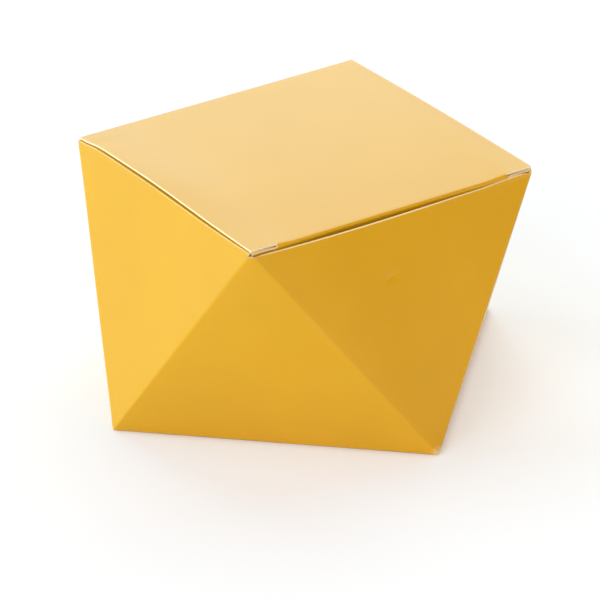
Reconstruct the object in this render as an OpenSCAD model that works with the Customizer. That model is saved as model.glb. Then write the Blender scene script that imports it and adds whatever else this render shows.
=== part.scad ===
// Folded card box with eight triangular walls: a square base, a square top turned by 45 degrees
// to it, and a hinged lid that tucks in behind the front wall.
// Millimetres, +Z up, the base on z = 0, the lid's tuck fold at the front (-Y), its hinge at +Y.

/* [Card] */
// Thickness of the card
card_t = 0.5; // [0.3:0.05:0.8]
// Inside radius of a fold
fold_in_r = 0.5; // [0.3:0.05:1]

/* [Walls] */
// Side of the square base, between its fold lines
base_side = 80; // [72:0.5:100]
// Side of the square top, between its fold lines
top_side = 79.6; // [72:0.1:92]
// Height of the walls, up to the outside of the dust flaps
wall_h = 58; // [48:1:70]
// How far the cut edge of the front wall bows outward at its middle
front_bow = 0.9; // [0:0.1:1.5]

/* [Lid] */
// Distance from a wall's fold line in to the side edge of the lid
lid_clear = 0.4; // [0.3:0.05:1]
// Distance from the front wall's fold line in to the tuck fold
tuck_clear = 0.6; // [0.5:0.05:1]
// Height of the lid over the dust flaps at its edges
lid_gap = 0.1; // [0.05:0.05:0.3]
// Rise of the lid panel at its middle
lid_arch = 0.4; // [0:0.1:1]
// Slot between the lid and the back wall at the hinge crease
hinge_gap = 0.1; // [0.05:0.05:0.2]

/* [Tuck flap] */
// Length of the tuck flap below its fold
tuck_len = 16; // [8:0.5:20]
// How much the tuck flap leans in from upright
tuck_lean = 8; // [7:0.5:12]
// Radius of the two lower corners of the tuck flap
tuck_corner_r = 7; // [2:0.5:8]
// Distance from the lid's side edge in to the side of the tuck flap
tuck_inset = 1; // [0.8:0.1:3]
// Length of the friction slit at each end of the tuck fold
slit_len = 9; // [4:0.5:14]
// Opening of the friction slits
slit_gap = 0.4; // [0.2:0.05:0.5]

/* [Dust flaps] */
// Depth of a dust flap, in from its fold line
dust_len = 26; // [12:0.5:32]
// Distance from the front corner of the top to the end of a dust flap
dust_front = 2.2; // [2.2:0.1:5]
// Distance from the back corner of the top to the end of a dust flap
dust_back = 1.8; // [1.5:0.1:5]
// How much the ends of a dust flap draw in along its depth
dust_taper = 6; // [0:0.5:12]

/* [Base] */
// Depth of the three glued base tabs
tab_len = 11; // [6:0.5:16]
// Distance from a base fold line in to the raw edge of the base panel
base_inset = 1.4; // [1.2:0.1:3]
// Slot between the ends of neighbouring base tabs
tab_slot = 1.6; // [1:0.1:4]

/* [Seam] */
// Width of the glued seam tab
seam_w = 10; // [6:0.5:14]
// Distance from each end of its fold to the seam tab
seam_end = 6; // [4:0.5:12]

/* [Hidden] */
card_colour = [0.9, 0.69, 0.2];
fold_r = card_t + fold_in_r;        // outside radius of a fold
fold_steps = 2;                     // flat strips round a fold
bow_steps = 10;                     // straight pieces along the bowed front edge
arch_steps = 12;                    // straight pieces along the lid's arch
bend_steps = 6;                     // straight pieces round the lid's half of the hinge crease
bond = 0.05;                        // how far joined layers of card sink into each other
reach = base_side + top_side;       // beyond every outline
raw_z = wall_h - fold_r;            // height of the raw top edges of the walls
lid_w = top_side - 2 * lid_clear;   // width of the lid, across its hinge
lid_top = wall_h + lid_gap + card_t;
flap_half = lid_w / 2 - tuck_inset; // half the width of the tuck flap at its fold
bend_z = lid_top - fold_r;          // centre height of the lid's two bends
tuck_y = fold_r - top_side / 2 + tuck_clear;

// A wall is named by the angle that it faces, in steps of 45 from +X: a wall at a multiple of 90
// has its edge under the lid, one between those has its edge on the floor.
wall_step = 45;
wall_angles = [0 : wall_step : 359];
back_angle = 90;
fold_angle = 225;
front_angle = 270;
seam_angle = 45;

// Distance of a wall's outside from the middle of the box, at the floor and at the top
function low_r(angle) = angle % 90 == 0 ? base_side / sqrt(2) : base_side / 2;
function high_r(angle) = angle % 90 == 0 ? top_side / 2 : top_side / sqrt(2);

// How much a wall leans out on its way up
function lean(angle) = atan2(high_r(angle) - low_r(angle), wall_h);

// A plane is its outward normal and its distance from the origin along that
function wall_normal(angle) =
    let (tip = lean(angle))
    [cos(angle) * cos(tip), sin(angle) * cos(tip), -sin(tip)];
function wall_plane(angle, depth) = [wall_normal(angle), low_r(angle) * cos(lean(angle)) - depth];
function level_plane(z) = [[0, 0, 1], z];

// The point that three planes share
function meet(p, q, r) =
    (p[1] * cross(q[0], r[0]) + q[1] * cross(r[0], p[0]) + r[1] * cross(p[0], q[0]))
    / (p[0] * cross(q[0], r[0]));

// The distance of a wall's plane from the middle of the box at one height
function wall_reach(angle, z, depth) =
    low_r(angle) + (z * sin(lean(angle)) - depth) / cos(lean(angle));

// The inset walls' corner between one wall and the next, at one height
function corner(angle, z) =
    meet(wall_plane(angle, fold_r), wall_plane(angle + wall_step, fold_r), level_plane(z));

// Directions from one face's normal round to another's, over a fold
function fan(from, to) =
    let (turn = acos(from * to))
    [
        for (i = [0 : fold_steps])
            (from * sin(turn * (1 - i / fold_steps)) + to * sin(turn * i / fold_steps)) / sin(turn)
    ];

// Points round a corner between one wall, the next wall and a level face
function corner_points(angle, z, radius, up) =
    let (
        this = wall_normal(angle),
        next = wall_normal(angle + wall_step),
        middle = this + next + up,
        turns = concat(fan(this, next), fan(this, up), fan(next, up), [middle / norm(middle)])
    )
    [for (way = turns) corner(angle, z) + radius * way];

// Points along the top of the front wall, which bows out in a cone from its point on the floor
function bow_points(z, radius) =
    let (start = corner(front_angle - wall_step, z), end = corner(front_angle, z))
    [
        for (i = [1 : bow_steps - 1], way = fan(wall_normal(front_angle), [0, 0, 1]))
            let (u = i / bow_steps)
            start + (end - start) * u - [0, 4 * front_bow * u * (1 - u), 0] + radius * way
    ];

// A closed block between a level and the walls' top with rounded folds, its sides in the walls' planes
module rounded_block(bottom, radius) {
    low = bottom + fold_r;
    points = concat(
        [for (angle = wall_angles) each corner_points(angle, low, radius, [0, 0, -1])],
        [for (angle = wall_angles) each corner_points(angle, raw_z, radius, [0, 0, 1])],
        bow_points(raw_z, radius)
    );
    hull()
        polyhedron(points, [[for (i = [0 : len(points) - 1]) i]]);
}

// Draws a section in Y and Z along X
module along_x(width) {
    rotate([90, 0, 90])
        linear_extrude(width, center = true)
            children();
}

function backward(list) = [for (i = [len(list) - 1 : -1 : 0]) list[i]];

// The dust flap at +X in plan, running out past its fold
module dust_outline() {
    fold_x = top_side / 2;
    front_y = dust_front - top_side / 2;
    back_y = top_side / 2 - dust_back;
    polygon([
        [reach, front_y],
        [fold_x - fold_r, front_y],
        [fold_x - dust_len, front_y + dust_taper],
        [fold_x - dust_len, back_y - dust_taper],
        [fold_x - fold_r, back_y],
        [reach, back_y]
    ]);
}

// What is cut out of the top of the folded card, between the dust flaps
module top_opening() {
    translate([0, 0, raw_z])
        linear_extrude(2 * fold_r)
            difference() {
                square(2 * reach, center = true);
                dust_outline();
                mirror([1, 0])
                    dust_outline();
            }
}

// What the base panel covers in plan, running out past its one fold
module base_outline() {
    side = base_side - 2 * base_inset;
    rotate(fold_angle) {
        square(side, center = true);
        translate([0, -side / 2])
            square([reach, side]);
    }
}

// What the base tabs leave open in plan: a window, slots at the corners and the folded side
module base_window() {
    half = base_side / 2 - tab_len;
    side = base_side / 2 - base_inset - card_t;
    rotate(fold_angle) {
        square(2 * half, center = true);
        polygon([[half, -half], [side, -side], [reach, -side], [reach, side], [side, side], [half, half]]);
    }
    for (angle = [0, 90])
        rotate(angle)
            square([sqrt(2) * (base_side - 4 * fold_r), tab_slot], center = true);
}

// Height at which the base panel's fold has turned into its wall, on a face of one radius
function fold_end(radius) = fold_r - radius * sin(lean(fold_angle)) + card_t / 2;

// A plan outline up to that height
module base_part(radius) {
    translate([0, 0, -card_t])
        linear_extrude(card_t + fold_end(radius))
            children();
}

// The outside of the folded card: the base panel reaches the floor, the glued sides stop above it
module outside() {
    rounded_block(card_t, fold_r);
    intersection() {
        rounded_block(0, fold_r);
        base_part(fold_r)
            base_outline();
    }
}

// The inside of the folded card, down to the base tabs and between them to the base panel
module inside() {
    rounded_block(card_t, fold_in_r);
    intersection() {
        rounded_block(0, fold_in_r);
        base_part(fold_in_r)
            base_window();
    }
}

// Walls, dust flaps, base panel and base tabs
module folded_card() {
    difference() {
        outside();
        inside();
        top_opening();
    }
}

// Angle of the slot that parts lid and back wall at the hinge crease, and half its width
crease_angle = (90 - lean(back_angle)) / 2;
crease_slot = hinge_gap / fold_r * 90 / PI;
crease_y = wall_reach(back_angle, bend_z, fold_r);

// The back wall's half of the hinge crease, rooted in the wall's card
module back_lip() {
    foot = raw_z - card_t;
    outer = fold_r - bond;
    inner = fold_in_r + bond;
    turns = [
        for (i = [0 : fold_steps])
            (crease_angle - crease_slot + lean(back_angle)) * i / fold_steps - lean(back_angle)
    ];
    along_x(lid_w)
        polygon(concat(
            [[wall_reach(back_angle, foot, bond), foot]],
            [for (a = turns) [crease_y + outer * cos(a), bend_z + outer * sin(a)]],
            [for (a = backward(turns)) [crease_y + inner * cos(a), bend_z + inner * sin(a)]],
            [[wall_reach(back_angle, foot, card_t - bond), foot]]
        ));
}

// The seam tab, flat against the inside of its wall along the fold to the back wall
module seam_tab() {
    low = meet(wall_plane(seam_angle, card_t), wall_plane(back_angle, card_t), level_plane(0));
    high = meet(wall_plane(seam_angle, card_t), wall_plane(back_angle, card_t), level_plane(raw_z));
    along = (low - high) / norm(low - high);
    inward = -wall_normal(seam_angle);
    across = cross(inward, along);
    place = high - inward * bond;
    run = norm(low - high) - seam_end;
    multmatrix([
        [along.x, across.x, inward.x, place.x],
        [along.y, across.y, inward.y, place.y],
        [along.z, across.z, inward.z, place.z]
    ])
        linear_extrude(card_t + bond)
            polygon([
                [seam_end, fold_r],
                [seam_end + seam_w, fold_r + seam_w],
                [run - seam_w, fold_r + seam_w],
                [run, fold_r]
            ]);
}

module body() {
    color(card_colour) {
        folded_card();
        back_lip();
        seam_tab();
    }
}

// One face of the lid in section, from the hinge crease to the tuck fold
function lid_line(radius) = concat(
    [
        for (i = [0 : bend_steps])
            let (a = crease_angle + crease_slot + (90 - crease_angle - crease_slot) * i / bend_steps)
            [crease_y + radius * cos(a), bend_z + radius * sin(a)]
    ],
    [
        for (i = [1 : arch_steps])
            let (u = i / arch_steps)
            [crease_y + (tuck_y - crease_y) * u, bend_z + radius + 4 * lid_arch * u * (1 - u)]
    ]
);

// The lid panel, with a raw edge at each side
module lid_panel() {
    along_x(lid_w)
        polygon(concat(lid_line(fold_r), backward(lid_line(fold_in_r))));
    for (side = [-1, 1])
        translate([side * (lid_w - slit_len) / 2, tuck_y - fold_r / 2 + bond, lid_top - card_t / 2])
            cube([slit_len, fold_r + 2 * bond, card_t], center = true);
}

// How much the tuck flap leans in, more where the front wall leans in too
tuck_tilt = tuck_lean + max(0, lean(front_angle));

// The tuck fold, between the friction slits
module tuck_fold() {
    translate([0, tuck_y, bend_z])
        along_x(lid_w - 2 * slit_len)
            intersection() {
                difference() {
                    circle(fold_r, $fn = 64);
                    circle(fold_in_r, $fn = 64);
                }
                polygon([
                    [0, 0],
                    [2 * bond, 2 * fold_r],
                    [-2 * fold_r, 2 * fold_r],
                    [-2 * fold_r, -2 * fold_r * tan(tuck_tilt) - 2 * bond]
                ]);
            }
}

// How much the tuck flap narrows on its way down, to stay clear of the corner walls
tuck_taper = max(0.1, sqrt(2) * tan(lean(front_angle + wall_step)) - sin(tuck_tilt) + 0.06);

// The tuck flap in its own plane, hanging from y = 0
module tuck_outline() {
    low_half = flap_half - tuck_taper * tuck_len;
    difference() {
        polygon([
            [-flap_half, 0],
            [flap_half, 0],
            [low_half, -tuck_len],
            [-low_half, -tuck_len]
        ]);
        for (side = [0, 1])
            mirror([side, 0])
                translate([low_half, -tuck_len])
                    difference() {
                        square(2 * tuck_corner_r, center = true);
                        translate([-tuck_corner_r, tuck_corner_r])
                            circle(tuck_corner_r + tuck_taper * tuck_corner_r / 2, $fn = 64);
                        translate([-4 * tuck_corner_r, -tuck_corner_r])
                            square([3 * tuck_corner_r, 4 * tuck_corner_r]);
                        translate([-2 * tuck_corner_r, tuck_corner_r])
                            square(4 * tuck_corner_r);
                    }
    }
}

// The tuck flap, its shoulders standing up into the slits beside the fold
module tuck_flap() {
    shoulder = fold_r - card_t - slit_gap;
    translate([0, tuck_y, bend_z])
        rotate([tuck_tilt, 0, 0])
            translate([0, card_t - fold_r, shoulder])
                rotate([90, 0, 0])
                    linear_extrude(card_t)
                        tuck_outline();
}

module lid() {
    color(card_colour) {
        lid_panel();
        tuck_fold();
        tuck_flap();
    }
}

body();
lid();
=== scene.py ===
"""Looks of the folded card box: one sheet of yellow printed card with rounded folds, raw white
edges and a white back, and its hinged lid. Sizes are in millimetres until a mesh is made."""

import bpy
import numpy as np
from mathutils import Matrix, Vector


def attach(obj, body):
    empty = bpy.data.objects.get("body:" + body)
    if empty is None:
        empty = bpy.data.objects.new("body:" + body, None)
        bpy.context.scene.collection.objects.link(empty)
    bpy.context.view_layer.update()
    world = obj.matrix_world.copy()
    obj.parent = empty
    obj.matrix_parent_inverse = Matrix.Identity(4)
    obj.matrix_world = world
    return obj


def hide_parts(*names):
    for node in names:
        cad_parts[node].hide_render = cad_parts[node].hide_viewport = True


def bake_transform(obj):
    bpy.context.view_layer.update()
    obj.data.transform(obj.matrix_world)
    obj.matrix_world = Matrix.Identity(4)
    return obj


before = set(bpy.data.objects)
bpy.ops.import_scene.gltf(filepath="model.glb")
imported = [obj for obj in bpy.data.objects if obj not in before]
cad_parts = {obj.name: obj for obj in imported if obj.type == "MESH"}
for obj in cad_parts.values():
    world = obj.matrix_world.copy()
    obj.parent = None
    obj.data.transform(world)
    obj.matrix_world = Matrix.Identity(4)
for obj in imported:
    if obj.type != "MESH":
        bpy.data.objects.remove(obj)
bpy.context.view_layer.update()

MM = 0.001

# The card: its thickness, the radii of its folds, how far cut edges slope, and how uneven it is
CARD_T = 0.5
FOLD_IN_R = 0.25
FOLD_R = CARD_T + FOLD_IN_R
CREASE_R = 1.0
TUCK_R = 0.55
CUT_SLOPE = 0.25
CUT_EASE = 0.04
UNEVEN = 0.06
UNEVEN_LEN = 41.0
UNEVEN_FROM = 6.0

# The walls: base and top squares between their fold lines, and raw edges a little below the top
BASE_SIDE = 80.0
TOP_SIDE = 79.6
WALL_H = 58.0
RAW_DROP = 1.0
RAW_Z = WALL_H - RAW_DROP
WALL_STEP = 45
WALL_ANGLES = range(0, 360, WALL_STEP)
BACK_ANGLE, FOLD_ANGLE, FRONT_ANGLE, SEAM_ANGLE = 90, 225, 270, 45

# The front wall's cut edge bows out, more on its left, and rises between places near its right end.
# The corner wall beside it, which the base folds from, bulges
FRONT_BOW = 1.1
BOW_SKEW = 0.65
EDGE_LIFT = 0.4
LIFT_PLACES = (0.84, 0.92, 0.97, 1.0)
BULGE = 0.9

# The lid and its tuck flap
LID_INSET = 0.4
LID_HALF = TOP_SIDE / 2 - LID_INSET
LID_ARCH = 0.4
LID_GAP = 0.1
LID_TOP = WALL_H + LID_GAP + CARD_T
CREASE_Z = LID_TOP - CREASE_R
TUCK_FACE = 39.9
LIP_REACH = 39.4
TUCK_DROP = 0.4
DROP_POWER = 4
DROP_EASE = 8.0
DROP_PAST = 2.0
SHOULDER_BACK = 0.35
SHOULDER_EASE = 3.0
TUCK_Y = TUCK_R - TUCK_FACE
TUCK_Z = LID_TOP - TUCK_R
TUCK_LEN = 16.0
TUCK_LEAN = np.radians(10)
TUCK_CORNER_R = 7.0
TUCK_TAPER = 0.318
TAPER_FROM = 0.5
FLAP_INSET = 0.3
FLAP_HALF = LID_HALF - FLAP_INSET
SLIT_LEN = 7.0
SLIT_X = LID_HALF - SLIT_LEN
SLIT_GAP = 0.3
CREASE_RELIEF = 0.5

# Dust flaps, base and seam
DUST_LEN = 26.0
DUST_FRONT = 1.0
DUST_BACK = 1.1
DUST_TAPER = 6.0
DUST_FALL = 0.035
DUST_BEND = 2.0
TAB_LEN = 11.0
BASE_INSET = 1.4
SEAM_W = 10.0
SEAM_END_W = 2.0
SEAM_LOW = 2.0
SEAM_HIGH = 0.5
SEAM_SHORT = 0.35

# Base tips, within a short reach, and the dust flaps' folds are creased sharper than the rest
TIP_SHARP = 0.7
TIP_REACH = 2.0
DUST_SHARP = 0.75

# The base tip at the far right is drawn in, so that the wall beside it hides behind its fold
DRAWN_TIP = 0
DRAWN_IN = np.array([-2.5, 1.5, 0.0])

# Lid and left wall have sprung up together at the back left: how far, how deep down the wall, and
# where across and along it starts and ends
SPRUNG = 0.9
SPRUNG_DEEP = 20.0
SPRUNG_X = (20.0, 38.5)
SPRUNG_Y = (-30.0, 12.0, 28.0, 39.2)

# The raw corners at the back reach up beside the lid's crease: how far, and where that starts
EAR_RISE = 0.8
EAR_DEEP = 0.8
EAR_X = (38.9, 39.3)
EAR_Y = (38.7, 39.0)

# Distances from a fold at which the mesh has lines, and the spacing and counts further off
FOLD_STEPS = (0, 0.12, 0.25, 0.38, 0.52, 0.68, 0.9, 1.2, 1.7, 2.6, 4.5, 8.0, 14.0)
FLAP_STEPS = FOLD_STEPS[:-2]
FLAT_FROM = 7.0
FACE_STEP = 3.0
EDGE_STEPS = (0.8, 0.3, 0.0)
EDGE_CLEAR = 1.0
DUST_RISES = (0, 0.2, 0.4, 0.55, 0.7, 0.85, 1.0)
FRONT_COLUMNS = 80
WALL_COLUMNS = 8
SEAM_COLUMNS = 3
SEAM_STEPS = (0, 1.0)
FOLD_SHARE = 0.42
WELD = 1e-3

# Small dents in the front wall: place across and up, length, width, turn in degrees, depth. The mesh
# has closer rows over a reach above and below each
DENTS = (
    (-4.4, 43.8, 1.2, 0.6, 25, 0.20),
    (-6.3, 34.4, 0.9, 0.6, 20, 0.08),
)
DENT_REACH = 2.0
DENT_STEP = 0.4


def unit(vectors):
    return vectors / np.linalg.norm(vectors, axis=-1, keepdims=True)


def towards(angle, reach, z=0.0):
    """The point at a distance from the box's middle line, in the direction of an angle."""
    turn = np.radians(angle)
    return np.array([np.cos(turn) * reach, np.sin(turn) * reach, z])


def wall_lean(angle):
    """A wall's distance from the middle line at the floor, and the angle that it leans out by."""
    on_edge = angle % 90 == 0
    low = BASE_SIDE / np.sqrt(2) if on_edge else BASE_SIDE / 2
    high = TOP_SIDE / 2 if on_edge else TOP_SIDE / np.sqrt(2)
    return low, np.arctan2(high - low, WALL_H)


def wall_plane(angle, depth=0.0):
    """A wall's outward normal and its distance from the origin along that."""
    low, lean = wall_lean(angle)
    return towards(angle, np.cos(lean), -np.sin(lean)), low * np.cos(lean) - depth


def fold_point(angle, z, seam_depth=0.0):
    """The point at one height on the sharp fold between a wall and the next one round."""
    this, next_one = wall_plane(angle, seam_depth), wall_plane(angle + WALL_STEP)
    normals = np.array([this[0], next_one[0], [0, 0, 1]])
    reaches = np.stack([np.full_like(z, this[1]), np.full_like(z, next_one[1]), z], -1)
    return np.linalg.solve(normals, reaches[..., None])[..., 0]


def block_planes(bottom, depths=None, top=False):
    """The planes of the box set in by the fold radius: round these the folds are rolled."""
    depths = depths or {}
    planes = [wall_plane(a, FOLD_R + depths.get(a, 0.0)) for a in WALL_ANGLES]
    planes.append((np.array([0.0, 0.0, -1.0]), -(bottom + FOLD_R)))
    if top:
        planes.append((np.array([0.0, 0.0, 1.0]), WALL_H - FOLD_R))
    return planes


def nearest_inside(points, planes, rounds=40):
    """The nearest points of the block that the planes bound, by alternating projections."""
    near = points.copy()
    carried = [np.zeros_like(points) for _ in planes]
    for _ in range(rounds):
        for i, (normal, reach) in enumerate(planes):
            start = near + carried[i]
            over = np.maximum(start @ normal - reach, 0.0)
            near = start - over[..., None] * normal
            carried[i] = start - near
    return near


def waves(points, length):
    """A smooth uneven field between about -1 and 1, from a few crossing waves."""
    ways = np.array([[1, 0.3, 0.5], [-0.4, 1, 0.2], [0.3, -0.6, 1], [0.8, 0.7, -0.5]])
    phases = np.array([0.4, 1.9, 3.1, 5.0])
    turns = points @ ways.T * (2 * np.pi / length) + phases
    return np.sin(turns).mean(-1)


def near_tips(points):
    """How near points are to a tip of the base, from 0 to 1."""
    tips = np.array([towards(a, BASE_SIDE / np.sqrt(2)) for a in WALL_ANGLES if a % 90 == 0])
    away = np.linalg.norm(points[..., None, :] - tips, axis=-1).min(-1)
    return np.exp(-(away / TIP_REACH) ** 2)


def rolled_card(points, planes):
    """Both faces of the card where its sharp outside runs through the points."""
    core = nearest_inside(points, planes)
    out = unit(points - core)
    above = np.clip(points[..., 2] / UNEVEN_FROM, 0, 1)
    core = core + out * (UNEVEN * above * waves(points, UNEVEN_LEN))[..., None]
    printed = core + FOLD_R * out
    sharp = np.where(points[..., 2] > RAW_Z, DUST_SHARP, TIP_SHARP * near_tips(points))
    printed += (points - printed) * sharp[..., None]
    return printed, core + FOLD_IN_R * out


class Sheet:
    """Folded card, built from grids of paired points on its printed face and on its back."""

    def __init__(self):
        self.known = {}
        self.printed = []
        self.backs = []
        self.faces = []

    def vertex(self, printed, back):
        key = tuple(np.round(printed / WELD).astype(int))
        if key not in self.known:
            self.known[key] = len(self.printed)
            self.printed.append(printed)
            self.backs.append(back)
        return self.known[key]

    def patch(self, printed, backs):
        """Adds a grid whose rows run up and columns run right, seen from the printed side."""
        rows, columns = printed.shape[:2]
        ids = [
            [self.vertex(printed[r, c], backs[r, c]) for c in range(columns)] for r in range(rows)
        ]
        for r in range(rows - 1):
            for c in range(columns - 1):
                corners = (ids[r][c], ids[r][c + 1], ids[r + 1][c + 1], ids[r + 1][c])
                face = tuple(dict.fromkeys(corners))
                if len(face) > 2:
                    self.faces.append(face)

    def raw_edges(self):
        """Edges that only one face has, in that face's direction."""
        edges = [(f[i - 1], f[i]) for f in self.faces for i in range(len(f))]
        both = set(edges)
        return [e for e in edges if (e[1], e[0]) not in both]

    def build(self, name, materials):
        """One closed mesh: the printed face, the back, and raw edges between them."""
        count = len(self.printed)
        raw = self.raw_edges()
        backs = [tuple(i + count for i in reversed(f)) for f in self.faces]
        edges = [(a, a + count, b + count, b) for a, b in raw]
        mesh = bpy.data.meshes.new(name)
        points = np.concatenate([self.printed, self.backs]) * MM
        mesh.from_pydata(points.tolist(), [], self.faces + backs + edges)
        kinds = np.repeat([0, 1, 2], [len(self.faces), len(backs), len(edges)])
        mesh.polygons.foreach_set("material_index", kinds)
        mesh.polygons.foreach_set("use_smooth", kinds < 2)
        sharp = {frozenset((a + k, b + k)) for a, b in raw for k in (0, count)}
        flags = [frozenset(e.vertices) in sharp for e in mesh.edges]
        mesh.attributes.new("sharp_edge", "BOOLEAN", "EDGE").data.foreach_set("value", flags)
        for material in materials:
            mesh.materials.append(material)
        mesh.update()
        piece = bpy.data.objects.new(name, mesh)
        bpy.context.scene.collection.objects.link(piece)
        return piece


def steps_with(*extra):
    return np.array(sorted({*FOLD_STEPS, *extra}))


def shares_across(width, left, right, middle):
    """Places across a wall as shares of its width, closer together by the folds."""
    near = np.minimum(left / width, FOLD_SHARE * np.arange(len(left)) / (len(left) - 1))
    far = 1 - np.minimum(right / width, FOLD_SHARE * np.arange(len(right)) / (len(right) - 1))
    between = np.linspace(near[-1], far[-1], middle + 2)[1:-1]
    return np.concatenate([near, between, far[::-1]])


def wall_rows():
    """Heights of the mesh lines round the walls, from the lowest glued folds to the raw edges."""
    low = CARD_T + np.array(FLAP_STEPS)
    even = np.arange(low[-1] + FACE_STEP, RAW_Z - EDGE_CLEAR, FACE_STEP)
    beside = np.arange(-DENT_REACH, DENT_REACH + DENT_STEP / 2, DENT_STEP)
    dents = [z + beside for _, z, *_ in DENTS]
    rows = np.concatenate([low, even, *dents, RAW_Z - np.array(EDGE_STEPS)])
    return np.array(sorted(set(np.round(rows, 3))))


ROWS = wall_rows()
DUST_END_FRONT = TOP_SIDE / 2 * RAW_Z / WALL_H - (TOP_SIDE / 2 - DUST_FRONT)
DUST_END_BACK = TOP_SIDE / 2 * RAW_Z / WALL_H - (TOP_SIDE / 2 - DUST_BACK)
BASE_END = BASE_INSET - BASE_SIDE / 2 * CARD_T / WALL_H


def wall_steps(angle):
    """Mesh lines beside a wall's left and right folds, with those that its flaps end on."""
    if angle == 0:
        return steps_with(DUST_END_FRONT), steps_with(DUST_END_BACK)
    if angle == 180:
        return steps_with(DUST_END_BACK), steps_with(DUST_END_FRONT)
    if angle % 90:
        return steps_with(BASE_END), steps_with(BASE_END)
    return steps_with(), steps_with()


def wall_shares(angle):
    """Rows by columns of places across a wall."""
    left, right = wall_steps(angle)
    on_edge = angle % 90 == 0
    grow = ROWS / WALL_H
    widths = TOP_SIDE * grow if on_edge else BASE_SIDE * (1 - grow)
    middle = FRONT_COLUMNS if angle == FRONT_ANGLE else WALL_COLUMNS
    return np.array([shares_across(w, left, right, middle) for w in widths])


def wall_bottom(angle, shares):
    """Height of a wall's sharp lower edge: the wall that the base folds from reaches the floor."""
    if angle == FOLD_ANGLE:
        return np.zeros_like(shares)
    if angle == FOLD_ANGLE + WALL_STEP:
        return CARD_T * shares
    if angle == FOLD_ANGLE - WALL_STEP:
        return CARD_T * (1 - shares)
    return np.full_like(shares, CARD_T)


def bowed(points, shares, z):
    """Bows the front wall out, more on its left, in a cone from its point on the floor."""
    out = 4 * FRONT_BOW * shares * (1 - shares) * (1 + BOW_SKEW * (1 - 2 * shares))
    points[..., 1] -= out * z / RAW_Z


def bulged(angle, shares, z):
    """How far a wall's points are moved out of its plane by its bulge."""
    height = BULGE if angle == FOLD_ANGLE else 0.0
    out = 4 * height * shares * (1 - shares) * np.sin(np.pi * z / WALL_H)
    return out[..., None] * wall_plane(angle)[0]


def dented(points):
    """Presses the small dents into the front wall."""
    for x, z, long, wide, turn, depth in DENTS:
        c, s = np.cos(np.radians(turn)), np.sin(np.radians(turn))
        dx, dz = points[..., 0] - x, points[..., 2] - z
        u, v = (dx * c + dz * s) / long, (dz * c - dx * s) / wide
        points[..., 1] += depth * np.exp(-u * u - v * v)


def wall_points(angle):
    """Sharp points over a wall, their shares across it, its lower edge's level and their heights."""
    shares = wall_shares(angle)
    bottom = wall_bottom(angle, shares)
    z = bottom + (ROWS[:, None] - CARD_T) * (RAW_Z - bottom) / (RAW_Z - CARD_T)
    seam_depth = CARD_T if angle == BACK_ANGLE else 0.0
    left = fold_point(angle - WALL_STEP, z, seam_depth)
    right = fold_point(angle, z)
    if angle == SEAM_ANGLE:
        right += unit(left - right) * SEAM_SHORT
    return left + (right - left) * shares[..., None], shares, bottom, z


def drawn_share(angle, shares, z):
    """How far a wall's points follow the base tip that is drawn in, from 0 to 1."""
    beside = {DRAWN_TIP - WALL_STEP: shares, DRAWN_TIP: 1.0, DRAWN_TIP + WALL_STEP: 1 - shares}
    turn = (angle + 180) % 360 - 180
    return beside.get(turn, 0.0) * (1 - z / WALL_H)


def add_wall(sheet, angle):
    """Adds a wall, and gives its sharp points, their shares and how far they are drawn in."""
    points, shares, bottom, z = wall_points(angle)
    depths = {SEAM_ANGLE: CARD_T} if angle == BACK_ANGLE else None
    if angle == SEAM_ANGLE:
        depths = {BACK_ANGLE: -BASE_SIDE}
    printed, backs = rolled_card(points, block_planes(bottom, depths))
    if angle == FRONT_ANGLE:
        for face in (printed, backs):
            bowed(face, shares, z)
            dented(face)
        from_fold = np.minimum(shares[-1], 1 - shares[-1])
        backs[-1, :, 2] += CUT_SLOPE * np.minimum(from_fold / CUT_EASE, 1)
        lift = EDGE_LIFT * np.interp(shares[-1], LIFT_PLACES, (0, 1, 1, 0))
        for face in (printed, backs):
            face[-1, :, 2] += lift
    drawn = drawn_share(angle, shares, z)
    moved = drawn[..., None] * DRAWN_IN + bulged(angle, shares, z)
    sheet.patch(printed + moved, backs + moved)
    return points, shares, drawn


def add_dust_flap(sheet, angle, wall):
    """A flap folded in from a side wall's top, between its two ends."""
    out = 1 if angle == 0 else -1
    left, right = wall_steps(angle)
    ends = (DUST_END_FRONT, DUST_END_BACK) if angle == 0 else (DUST_END_BACK, DUST_END_FRONT)
    first = int(np.argmin(abs(left - ends[0])))
    last = wall.shape[1] - int(np.argmin(abs(right - ends[1])))
    y = wall[-1, first:last, 1]
    low, lean = wall_lean(angle)
    rise = RAW_Z + RAW_DROP * np.array(DUST_RISES)
    depth = np.concatenate([FLAP_STEPS[1:], np.arange(FLAT_FROM, DUST_LEN, FACE_STEP), [DUST_LEN]])
    rows = [np.stack([out * (low + z * np.tan(lean)) + 0 * y, y, z + 0 * y], -1) for z in rise]
    share = (y - y[0]) / (y[-1] - y[0])
    for d in depth:
        draw = DUST_TAPER * max(0.0, d - FOLD_R) / (DUST_LEN - FOLD_R) * out
        across = y[0] + draw + share * (y[-1] - y[0] - 2 * draw)
        rows.append(np.stack([out * (TOP_SIDE / 2 - d) + 0 * y, across, WALL_H + 0 * y], -1))
    points = np.array(rows)
    printed, backs = rolled_card(points, block_planes(CARD_T, top=True))
    for face in (printed, backs):
        face[..., 2] -= DUST_FALL * np.maximum(0, TOP_SIDE / 2 - DUST_BEND - abs(face[..., 0]))
        face += drawn_share(angle, 0.0, points[..., 2])[..., None] * DRAWN_IN
    sheet.patch(printed, backs)


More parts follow.
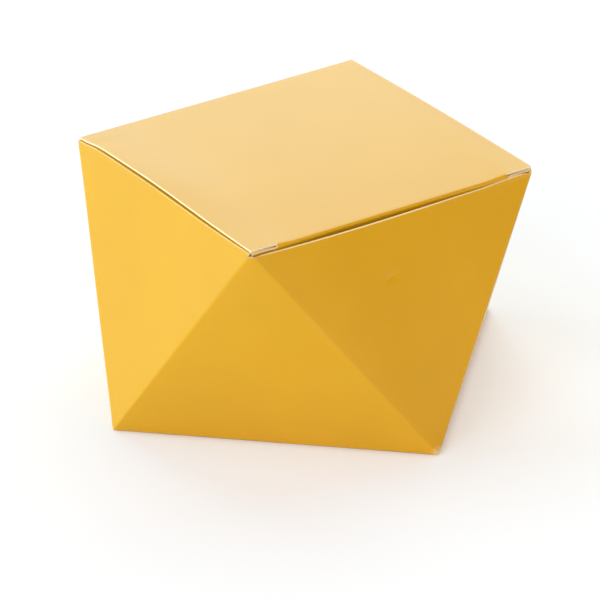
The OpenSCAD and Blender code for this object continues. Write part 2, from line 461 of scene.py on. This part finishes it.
def add_base_flap(sheet, angle, wall, shares, drawn):
    """The base panel, or a glued tab, folded in from a corner wall's lower edge."""
    panel = angle == FOLD_ANGLE
    level = 0.0 if panel else CARD_T
    left, right = wall_steps(angle)
    first = int(np.argmin(abs(left - BASE_END)))
    last = wall.shape[1] - int(np.argmin(abs(right - BASE_END)))
    edge = wall[0, first:last]
    length = BASE_SIDE - BASE_INSET if panel else TAB_LEN
    depth = np.concatenate([FLAP_STEPS, np.arange(FLAT_FROM, length, FACE_STEP), [length]])
    middle = edge.mean(0)
    inward = towards(angle + 180, 1.0)
    half = np.linalg.norm(edge[-1] - edge[0]) / 2
    rows, follow = [], []
    for d in depth:
        narrow = 1.0 if panel else (half - max(0.0, d - FOLD_R)) / half
        rows.append(middle + (edge - middle) * narrow + inward * d)
        across = d / BASE_SIDE
        near = drawn[0, first:last] * (1 - across)
        far = shares[0, first:last] * across
        follow.append(far if panel else near)
    points = np.array(rows)[::-1]
    printed, backs = rolled_card(points, block_planes(level))
    moved = np.array(follow)[::-1, :, None] * DRAWN_IN
    sheet.patch(printed + moved, backs + moved)


def add_seam_tab(sheet):
    """The tab along the back wall's edge, glued inside the wall that meets it."""
    z = ROWS[(ROWS > SEAM_LOW) & (ROWS < RAW_Z - SEAM_HIGH)]
    fold = fold_point(SEAM_ANGLE, z, CARD_T)
    far = fold_point(SEAM_ANGLE - WALL_STEP, z, 0.0)
    inward = unit(far - fold)
    widths = np.minimum(SEAM_W, np.minimum(z - z[0], z[-1] - z) + SEAM_END_W)
    free = np.array(SEAM_STEPS)
    shares = np.array([shares_across(w, steps_with(), free, SEAM_COLUMNS) for w in widths])
    points = fold[:, None] + inward[:, None] * (shares * widths[:, None])[..., None]
    planes = block_planes(CARD_T, {SEAM_ANGLE: CARD_T})
    printed, backs = rolled_card(points[:, ::-1], planes)
    moved = (shares * widths[:, None] / BASE_SIDE)[:, ::-1, None] * DRAWN_IN
    sheet.patch(printed + moved, backs + moved)


def eased(share):
    """A share from 0 to 1, with a soft start and end."""
    share = np.clip(share, 0, 1)
    return share * share * (3 - 2 * share)


def sprung(points):
    """Raises the back left of the lid, and the wall under it."""
    moved = np.array(points)
    x, y, z = moved.T
    across = eased(np.interp(-x, SPRUNG_X, (0, 1)))
    along = eased(np.interp(y, SPRUNG_Y, (0, 1, 1, 0)))
    moved[:, 2] += SPRUNG * across * along * np.clip((z - RAW_Z) / SPRUNG_DEEP + 1, 0, 1)
    return list(moved)


def eared(points):
    """Raises the body's raw corners at the back."""
    moved = np.array(points)
    x, y, z = moved.T
    beside = np.interp(abs(x), EAR_X, (0, 1)) * np.interp(y, EAR_Y, (0, 1))
    moved[:, 2] += EAR_RISE * beside * np.clip((z - RAW_Z) / EAR_DEEP + 1, 0, 1)
    return list(moved)


def body_sheet():
    sheet = Sheet()
    for angle in WALL_ANGLES:
        wall, shares, drawn = add_wall(sheet, angle)
        if angle in (0, 180):
            add_dust_flap(sheet, angle, wall)
        if angle % 90:
            add_base_flap(sheet, angle, wall, shares, drawn)
    add_seam_tab(sheet)
    sheet.printed = sprung(eared(sheet.printed))
    sheet.backs = sprung(eared(sheet.backs))
    return sheet


BACK_LOW, BACK_LEAN = wall_lean(BACK_ANGLE)
CREASE_Y = BACK_LOW + (CREASE_Z * np.sin(BACK_LEAN) - CREASE_R) / np.cos(BACK_LEAN)
TUCK_OUT = np.array([-np.cos(TUCK_LEAN), -np.sin(TUCK_LEAN)])
TUCK_FALL = np.array([np.sin(TUCK_LEAN), -np.cos(TUCK_LEAN)])
SHOULDER = TUCK_R - CARD_T - SLIT_GAP
BEND_ROWS = 10
PANEL_ROWS = 28
LIP_ROWS = 4
LEG_ROWS = 4
SLIT_STEP = 1.0
SIDE_STEPS = (0, 0.4, 1.2, 3.0, 5.0, 6.2)
FLAP_ROWS = np.concatenate([[0, 0.5, 1.5, 3, 5, 7], np.linspace(9, 15.5, 9), [15.8, TUCK_LEN]])


def rolled(middle, radius, first, last, rows):
    """Places and outward directions round a bend, between two turns from level."""
    turns = np.linspace(first, last, rows)
    ways = np.stack([np.cos(turns), np.sin(turns)], -1)
    return np.array(middle) + ways * radius, ways


def lid_line():
    """The lid in section: places and outward directions from the back wall to the tuck fold."""
    crease, crease_ways = rolled((CREASE_Y, CREASE_Z), CREASE_R, -BACK_LEAN, np.pi / 2, BEND_ROWS + 1)
    foot = crease[0]
    leg_z = np.linspace(RAW_Z, foot[1], LEG_ROWS)[:-1]
    leg = np.stack([foot[0] + (leg_z - foot[1]) * np.tan(BACK_LEAN), leg_z], -1)
    u = np.linspace(0, 1, PANEL_ROWS + 1)
    y = CREASE_Y + (TUCK_Y - CREASE_Y) * u
    panel = np.stack([y, LID_TOP + 4 * LID_ARCH * u * (1 - u)], -1)
    slope = 4 * LID_ARCH * (1 - 2 * u) / (TUCK_Y - CREASE_Y)
    panel_ways = unit(np.stack([-slope, np.ones_like(u)], -1))
    places = np.concatenate([leg, crease[:-1], panel])
    ways = np.concatenate([np.tile(crease_ways[0], (len(leg), 1)), crease_ways[:-1], panel_ways])
    bent = len(leg) + BEND_ROWS
    relief = CREASE_RELIEF * np.linspace(1, 0, bent) ** 2
    halves = np.concatenate([LID_HALF - relief, np.full(len(panel), LID_HALF)])
    return places, ways, halves


def lid_columns():
    """Places across the lid, closer together by its side edges and the ends of the slits."""
    outer = LID_HALF - np.array(SIDE_STEPS)
    inner = np.arange(SLIT_X - SLIT_STEP, 0, -FACE_STEP)
    right = np.concatenate([outer, [SLIT_X], inner])
    return np.concatenate([-right, right[::-1]])


def swept(places, ways, x):
    """Printed and back faces of the card along a section, over columns given for each row."""
    def face(depth):
        at = places - ways * depth
        rows = np.broadcast_to(at[:, None, :], x.shape + (2,))
        return np.concatenate([x[..., None], rows], -1)

    return face(0.0), face(CARD_T)


def add_strip(sheet, places, ways, x, past=None):
    """Adds card along a section, lower towards the tuck fold. Past a slit's end its shoulder
    stands back, and its cut edge slopes."""
    printed, backs = swept(places, ways, x)
    front = np.clip((CREASE_Y - places[:, 0]) / (CREASE_Y - TUCK_Y), 0, 1) ** DROP_POWER
    front[places[:, 1] < TUCK_Z] = 1
    drop = TUCK_DROP * front[:, None] * eased((SLIT_X + DROP_PAST - abs(x)) / DROP_EASE)
    for face in (printed, backs):
        face[..., 2] -= drop
    if past is not None:
        printed[0, past > WELD, 1:] += TUCK_FALL * CUT_SLOPE
        for face in (printed, backs):
            face[..., 1] += SHOULDER_BACK * np.minimum(past / SHOULDER_EASE, 1)
    sheet.patch(printed[:, ::-1], backs[:, ::-1])


def flap_half(down):
    """Half the tuck flap's width at a distance below its shoulders."""
    half = FLAP_HALF - TUCK_TAPER * np.maximum(down - TAPER_FROM, 0)
    round_start = TUCK_LEN - TUCK_CORNER_R
    turn = np.clip((down - round_start) / TUCK_CORNER_R, 0, 1)
    return half - TUCK_CORNER_R * (1 - np.sqrt(1 - turn ** 2))


def flap_section(down):
    """The flat tuck flap in section, at distances below its shoulders."""
    start = np.array([TUCK_Y, TUCK_Z]) + TUCK_OUT * TUCK_R
    return start + TUCK_FALL * (down - SHOULDER)[:, None], np.tile(TUCK_OUT, (len(down), 1))


def lip_section():
    """The lid's level cut edge above a slit."""
    y = np.linspace(TUCK_Y, -LIP_REACH, LIP_ROWS)
    return np.stack([y, np.full(LIP_ROWS, LID_TOP)], -1), np.tile([0.0, 1.0], (LIP_ROWS, 1))


def lid_sheet():
    sheet = Sheet()
    columns = lid_columns()
    middle = columns[abs(columns) <= SLIT_X + WELD]
    places, ways, halves = lid_line()
    add_strip(sheet, places, ways, columns[None] * (halves / LID_HALF)[:, None])
    bend = rolled((TUCK_Y, TUCK_Z), TUCK_R, np.pi / 2, np.pi + TUCK_LEAN, BEND_ROWS + 1)
    add_strip(sheet, *bend, np.tile(middle, (BEND_ROWS + 1, 1)))
    scale = flap_half(FLAP_ROWS) / FLAP_HALF
    for side in (-1, 1):
        edge = columns[side * columns >= SLIT_X - WELD]
        add_strip(sheet, *lip_section(), np.tile(edge, (LIP_ROWS, 1)))
        past = abs(edge) - SLIT_X
        shoulder = side * (SLIT_X + past * (FLAP_HALF - SLIT_X) / (LID_HALF - SLIT_X))
        add_strip(sheet, *flap_section(FLAP_ROWS), shoulder[None] * scale[:, None], past)
    rows = np.concatenate([[SHOULDER], FLAP_ROWS])
    scale = flap_half(rows) / FLAP_HALF
    add_strip(sheet, *flap_section(rows), middle[None] * scale[:, None])
    sheet.printed = sprung(sheet.printed)
    sheet.backs = sprung(sheet.backs)
    return sheet


# Colours of the card and the floor. The floor is shown with a share of white, which fades out within
# a short reach of the part, in metres: there the floor is left darker as a painted contact shadow
PRINT = (0.69, 0.374, 0.003, 1)
BOARD = (0.80, 0.78, 0.74, 1)
CORE = (0.92, 0.74, 0.43, 1)
FLOOR = (0.93, 0.97, 1.00, 1)
FLOOR_WHITE = 0.42
CONTACT_REACH = 0.002

# Where the print is rubbed off: the base tip at the front right, in metres
WORN_TIP = (0.0, -BASE_SIDE / np.sqrt(2) * MM, 0.0005)
WORN_CORE = 0.0004
WORN_REACH = 0.0024


class Nodes:
    """A short way to write a node tree."""

    def __init__(self, tree):
        self.tree = tree
        tree.nodes.clear()

    def add(self, kind, inputs=None, **settings):
        node = self.tree.nodes.new(kind)
        for key, value in settings.items():
            setattr(node, key, value)
        for key, value in (inputs or {}).items():
            if isinstance(value, bpy.types.NodeSocket):
                self.tree.links.new(value, node.inputs[key])
            else:
                node.inputs[key].default_value = value
        return node

    def noise(self, scale, detail=4.0, rough=0.6):
        place = self.add("ShaderNodeTexCoord").outputs["Object"]
        inputs = {"Vector": place, "Scale": scale, "Detail": detail, "Roughness": rough}
        return self.add("ShaderNodeTexNoise", inputs).outputs["Fac"]

    def ramp(self, value, low, high, start=0.3, end=0.7):
        node = self.add("ShaderNodeValToRGB", {"Fac": value})
        first, last = node.color_ramp.elements
        first.position, last.position = start, end
        first.color, last.color = low, high
        return node.outputs["Color"]

    def spread(self, value, low, high, start=0.25, end=0.75, **settings):
        inputs = {"Value": value, "From Min": start, "From Max": end, "To Min": low, "To Max": high}
        return self.add("ShaderNodeMapRange", inputs, **settings).outputs["Result"]

    def bump(self, height, distance, strength):
        inputs = {"Height": height, "Distance": distance, "Strength": strength}
        return self.add("ShaderNodeBump", inputs).outputs["Normal"]

    def math(self, operation, first, second):
        return self.add("ShaderNodeMath", {0: first, 1: second}, operation=operation).outputs["Value"]

    def surface(self, shader):
        self.add("ShaderNodeOutputMaterial", {"Surface": shader})


def shaded(colour, factor):
    return tuple(min(1.0, c * factor) for c in colour[:3]) + (1,)


def new_material(name):
    material = bpy.data.materials.new(name)
    material.use_nodes = True
    return material, Nodes(material.node_tree)


def worn_share(n):
    """Where the print is rubbed off in specks, round the base tip at the front right."""
    place = n.add("ShaderNodeTexCoord").outputs["Object"]
    away = n.add("ShaderNodeVectorMath", {0: place, 1: WORN_TIP}, operation="DISTANCE").outputs["Value"]
    near = n.spread(away, 0.0, 1.0, WORN_REACH, WORN_CORE, interpolation_type="SMOOTHSTEP")
    specks = n.noise(scale=2500.0, detail=3.0)
    return n.math("MULTIPLY", near, n.ramp(specks, (0, 0, 0, 1), (1, 1, 1, 1), start=0.4, end=0.6))


def print_material():
    """Yellow printed card under a satin film."""
    material, n = new_material("printed_film")
    broad = n.noise(scale=28.0, detail=2.0)
    grain = n.noise(scale=900.0, detail=2.0)
    slow = n.noise(scale=160.0, detail=3.0)
    ink = n.ramp(broad, shaded(PRINT, 0.97), shaded(PRINT, 1.03))
    colour = n.add("ShaderNodeMix", {0: worn_share(n), 6: ink, 7: CORE}, data_type="RGBA")
    shader = n.add("ShaderNodeBsdfPrincipled", {
        "Base Color": colour.outputs[2],
        "Roughness": n.spread(slow, 0.18, 0.22),
        "Specular IOR Level": 0.36,
        "Normal": n.bump(grain, distance=3e-6, strength=0.06),
    })
    n.surface(shader.outputs["BSDF"])
    return material


def board_material():
    """The card's bare white back."""
    material, n = new_material("board_back")
    fibres = n.noise(scale=1500.0, detail=5.0, rough=0.7)
    shader = n.add("ShaderNodeBsdfPrincipled", {
        "Base Color": n.ramp(fibres, shaded(BOARD, 0.95), shaded(BOARD, 1.04)),
        "Roughness": 0.85,
        "Normal": n.bump(fibres, distance=1.5e-5, strength=0.5),
    })
    n.surface(shader.outputs["BSDF"])
    return material


def edge_material():
    """The card's raw cut edge, with its pale fibres."""
    material, n = new_material("raw_edge")
    fibres = n.noise(scale=4000.0, detail=5.0, rough=0.7)
    shader = n.add("ShaderNodeBsdfPrincipled", {
        "Base Color": n.ramp(fibres, shaded(CORE, 0.92), shaded(CORE, 1.06)),
        "Roughness": 0.9,
        "Normal": n.bump(fibres, distance=2e-5, strength=0.6),
    })
    n.surface(shader.outputs["BSDF"])
    return material


def floor_material():
    """A pale floor that the camera, and gloss on the part, see a little whiter than its shade."""
    material, n = new_material("pale_floor")
    path = n.add("ShaderNodeLightPath").outputs
    direct = n.math("MAXIMUM", path["Is Camera Ray"], path["Is Glossy Ray"])
    seen = n.math("MAXIMUM", direct, path["Is Transmission Ray"])
    # Ambient occlusion fades the floor's white out close to the part: painted contact shade along the
    # base
    clear = n.add("ShaderNodeAmbientOcclusion", {"Distance": CONTACT_REACH}, samples=16).outputs["AO"]
    share = n.math("MULTIPLY", seen, n.math("MULTIPLY", clear, FLOOR_WHITE))
    shade = n.add("ShaderNodeBsdfDiffuse", {"Color": FLOOR}).outputs["BSDF"]
    white = n.add("ShaderNodeEmission", {"Color": (1, 1, 1, 1), "Strength": 1.0}).outputs["Emission"]
    both = n.add("ShaderNodeMixShader", {"Fac": share, 1: shade, 2: white})
    n.surface(both.outputs["Shader"])
    return material


# The floor's half width, and how far it lies under the part, in metres
FLOOR_HALF = 6.0
FLOOR_Z = -2e-5


def add_floor():
    mesh = bpy.data.meshes.new("floor")
    sides = [(-1, -1), (1, -1), (1, 1), (-1, 1)]
    corners = [(x * FLOOR_HALF, y * FLOOR_HALF, FLOOR_Z) for x, y in sides]
    mesh.from_pydata(corners, [], [(0, 1, 2, 3)])
    mesh.materials.append(floor_material())
    floor = bpy.data.objects.new("floor", mesh)
    bpy.context.scene.collection.objects.link(floor)


# The photo's camera: distances in millimetres, angles in degrees
PHOTO_PX = 600
FOCAL_PX = 5000
SENSOR = 36.0
AZIMUTH, ELEVATION, ROLL = -31.55, 26.396, -2.019
DISTANCE = 1223.3
TARGET_SIDE, TARGET_Z = -1.985, 18.635

# How near and far the camera sees, in metres
CLIP_NEAR, CLIP_FAR = 0.05, 50


def camera_axes():
    azimuth, elevation, roll = np.radians([AZIMUTH, ELEVATION, ROLL])
    right = np.array([np.cos(azimuth), np.sin(azimuth), 0])
    level = np.array([np.sin(azimuth), -np.cos(azimuth), 0])
    back = level * np.cos(elevation) + np.array([0, 0, np.sin(elevation)])
    up = np.cross(back, right)
    eye = right * TARGET_SIDE + np.array([0, 0, TARGET_Z]) + back * DISTANCE
    turned = right * np.cos(roll) + up * np.sin(roll)
    return eye * MM, turned, np.cross(back, turned), back


def add_camera():
    eye, right, up, back = camera_axes()
    data = bpy.data.cameras.new("camera")
    data.sensor_width = SENSOR
    data.lens = SENSOR * FOCAL_PX / PHOTO_PX
    data.clip_start = CLIP_NEAR
    data.clip_end = CLIP_FAR
    camera = bpy.data.objects.new("camera", data)
    matrix = Matrix(np.column_stack([right, up, back]).tolist()).to_4x4()
    matrix.translation = Vector(eye)
    camera.matrix_world = matrix
    bpy.context.scene.collection.objects.link(camera)
    bpy.context.scene.camera = camera


# The studio's soft light: a direction, how far its full strength and its fading edge reach from
# that direction in degrees, and its colour and strength
SKY = (
    ("room", (0, 0, 1), 85, 100, (0.26, 0.215, 0.17)),
    ("softbox", (0.47, 0.60, 0.65), 18, 42, (1.98, 2.46, 2.56)),
    ("window", (-0.66, 0.74, 0.12), 10, 28, (5.60, 7.10, 9.20)),
    ("fill", (-0.80, -0.48, 0.37), 22, 45, (1.92, 1.86, 1.90)),
    ("front", (0.40, -0.45, 0.80), 12, 32, (1.20, 0.68, 0.40)),
)


def sky_region(n, way, full, edge, colour):
    """One bright region of the sky, fading out smoothly round its middle."""
    look = n.add("ShaderNodeTexCoord").outputs["Generated"]
    middle = Vector(way).normalized()
    facing = n.add("ShaderNodeVectorMath", {0: look, 1: middle}, operation="DOT_PRODUCT").outputs["Value"]
    start, end = np.cos(np.radians([edge, full]))
    fade = n.spread(facing, 0.0, 1.0, start, end, interpolation_type="SMOOTHSTEP")
    return n.add("ShaderNodeBackground", {"Color": (*colour, 1), "Strength": fade}).outputs["Background"]


def add_sky(regions):
    world = bpy.data.worlds.new("studio")
    world.use_nodes = True
    n = Nodes(world.node_tree)
    lights = [sky_region(n, *region) for _, *region in regions]
    total = lights[0]
    for light in lights[1:]:
        total = n.add("ShaderNodeAddShader", {0: total, 1: light}).outputs["Shader"]
    n.add("ShaderNodeOutputWorld", {"Surface": total})
    bpy.context.scene.world = world


def dress():
    materials = [print_material(), board_material(), edge_material()]
    body = body_sheet().build("body_sheet", materials)
    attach(body, "box")
    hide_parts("body")
    lid = lid_sheet().build("lid_sheet", materials)
    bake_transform(lid)
    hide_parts("lid")


def light_scene():
    add_floor()
    add_camera()
    add_sky(SKY)
    bpy.context.scene.view_settings.view_transform = "Standard"


dress()
light_scene()
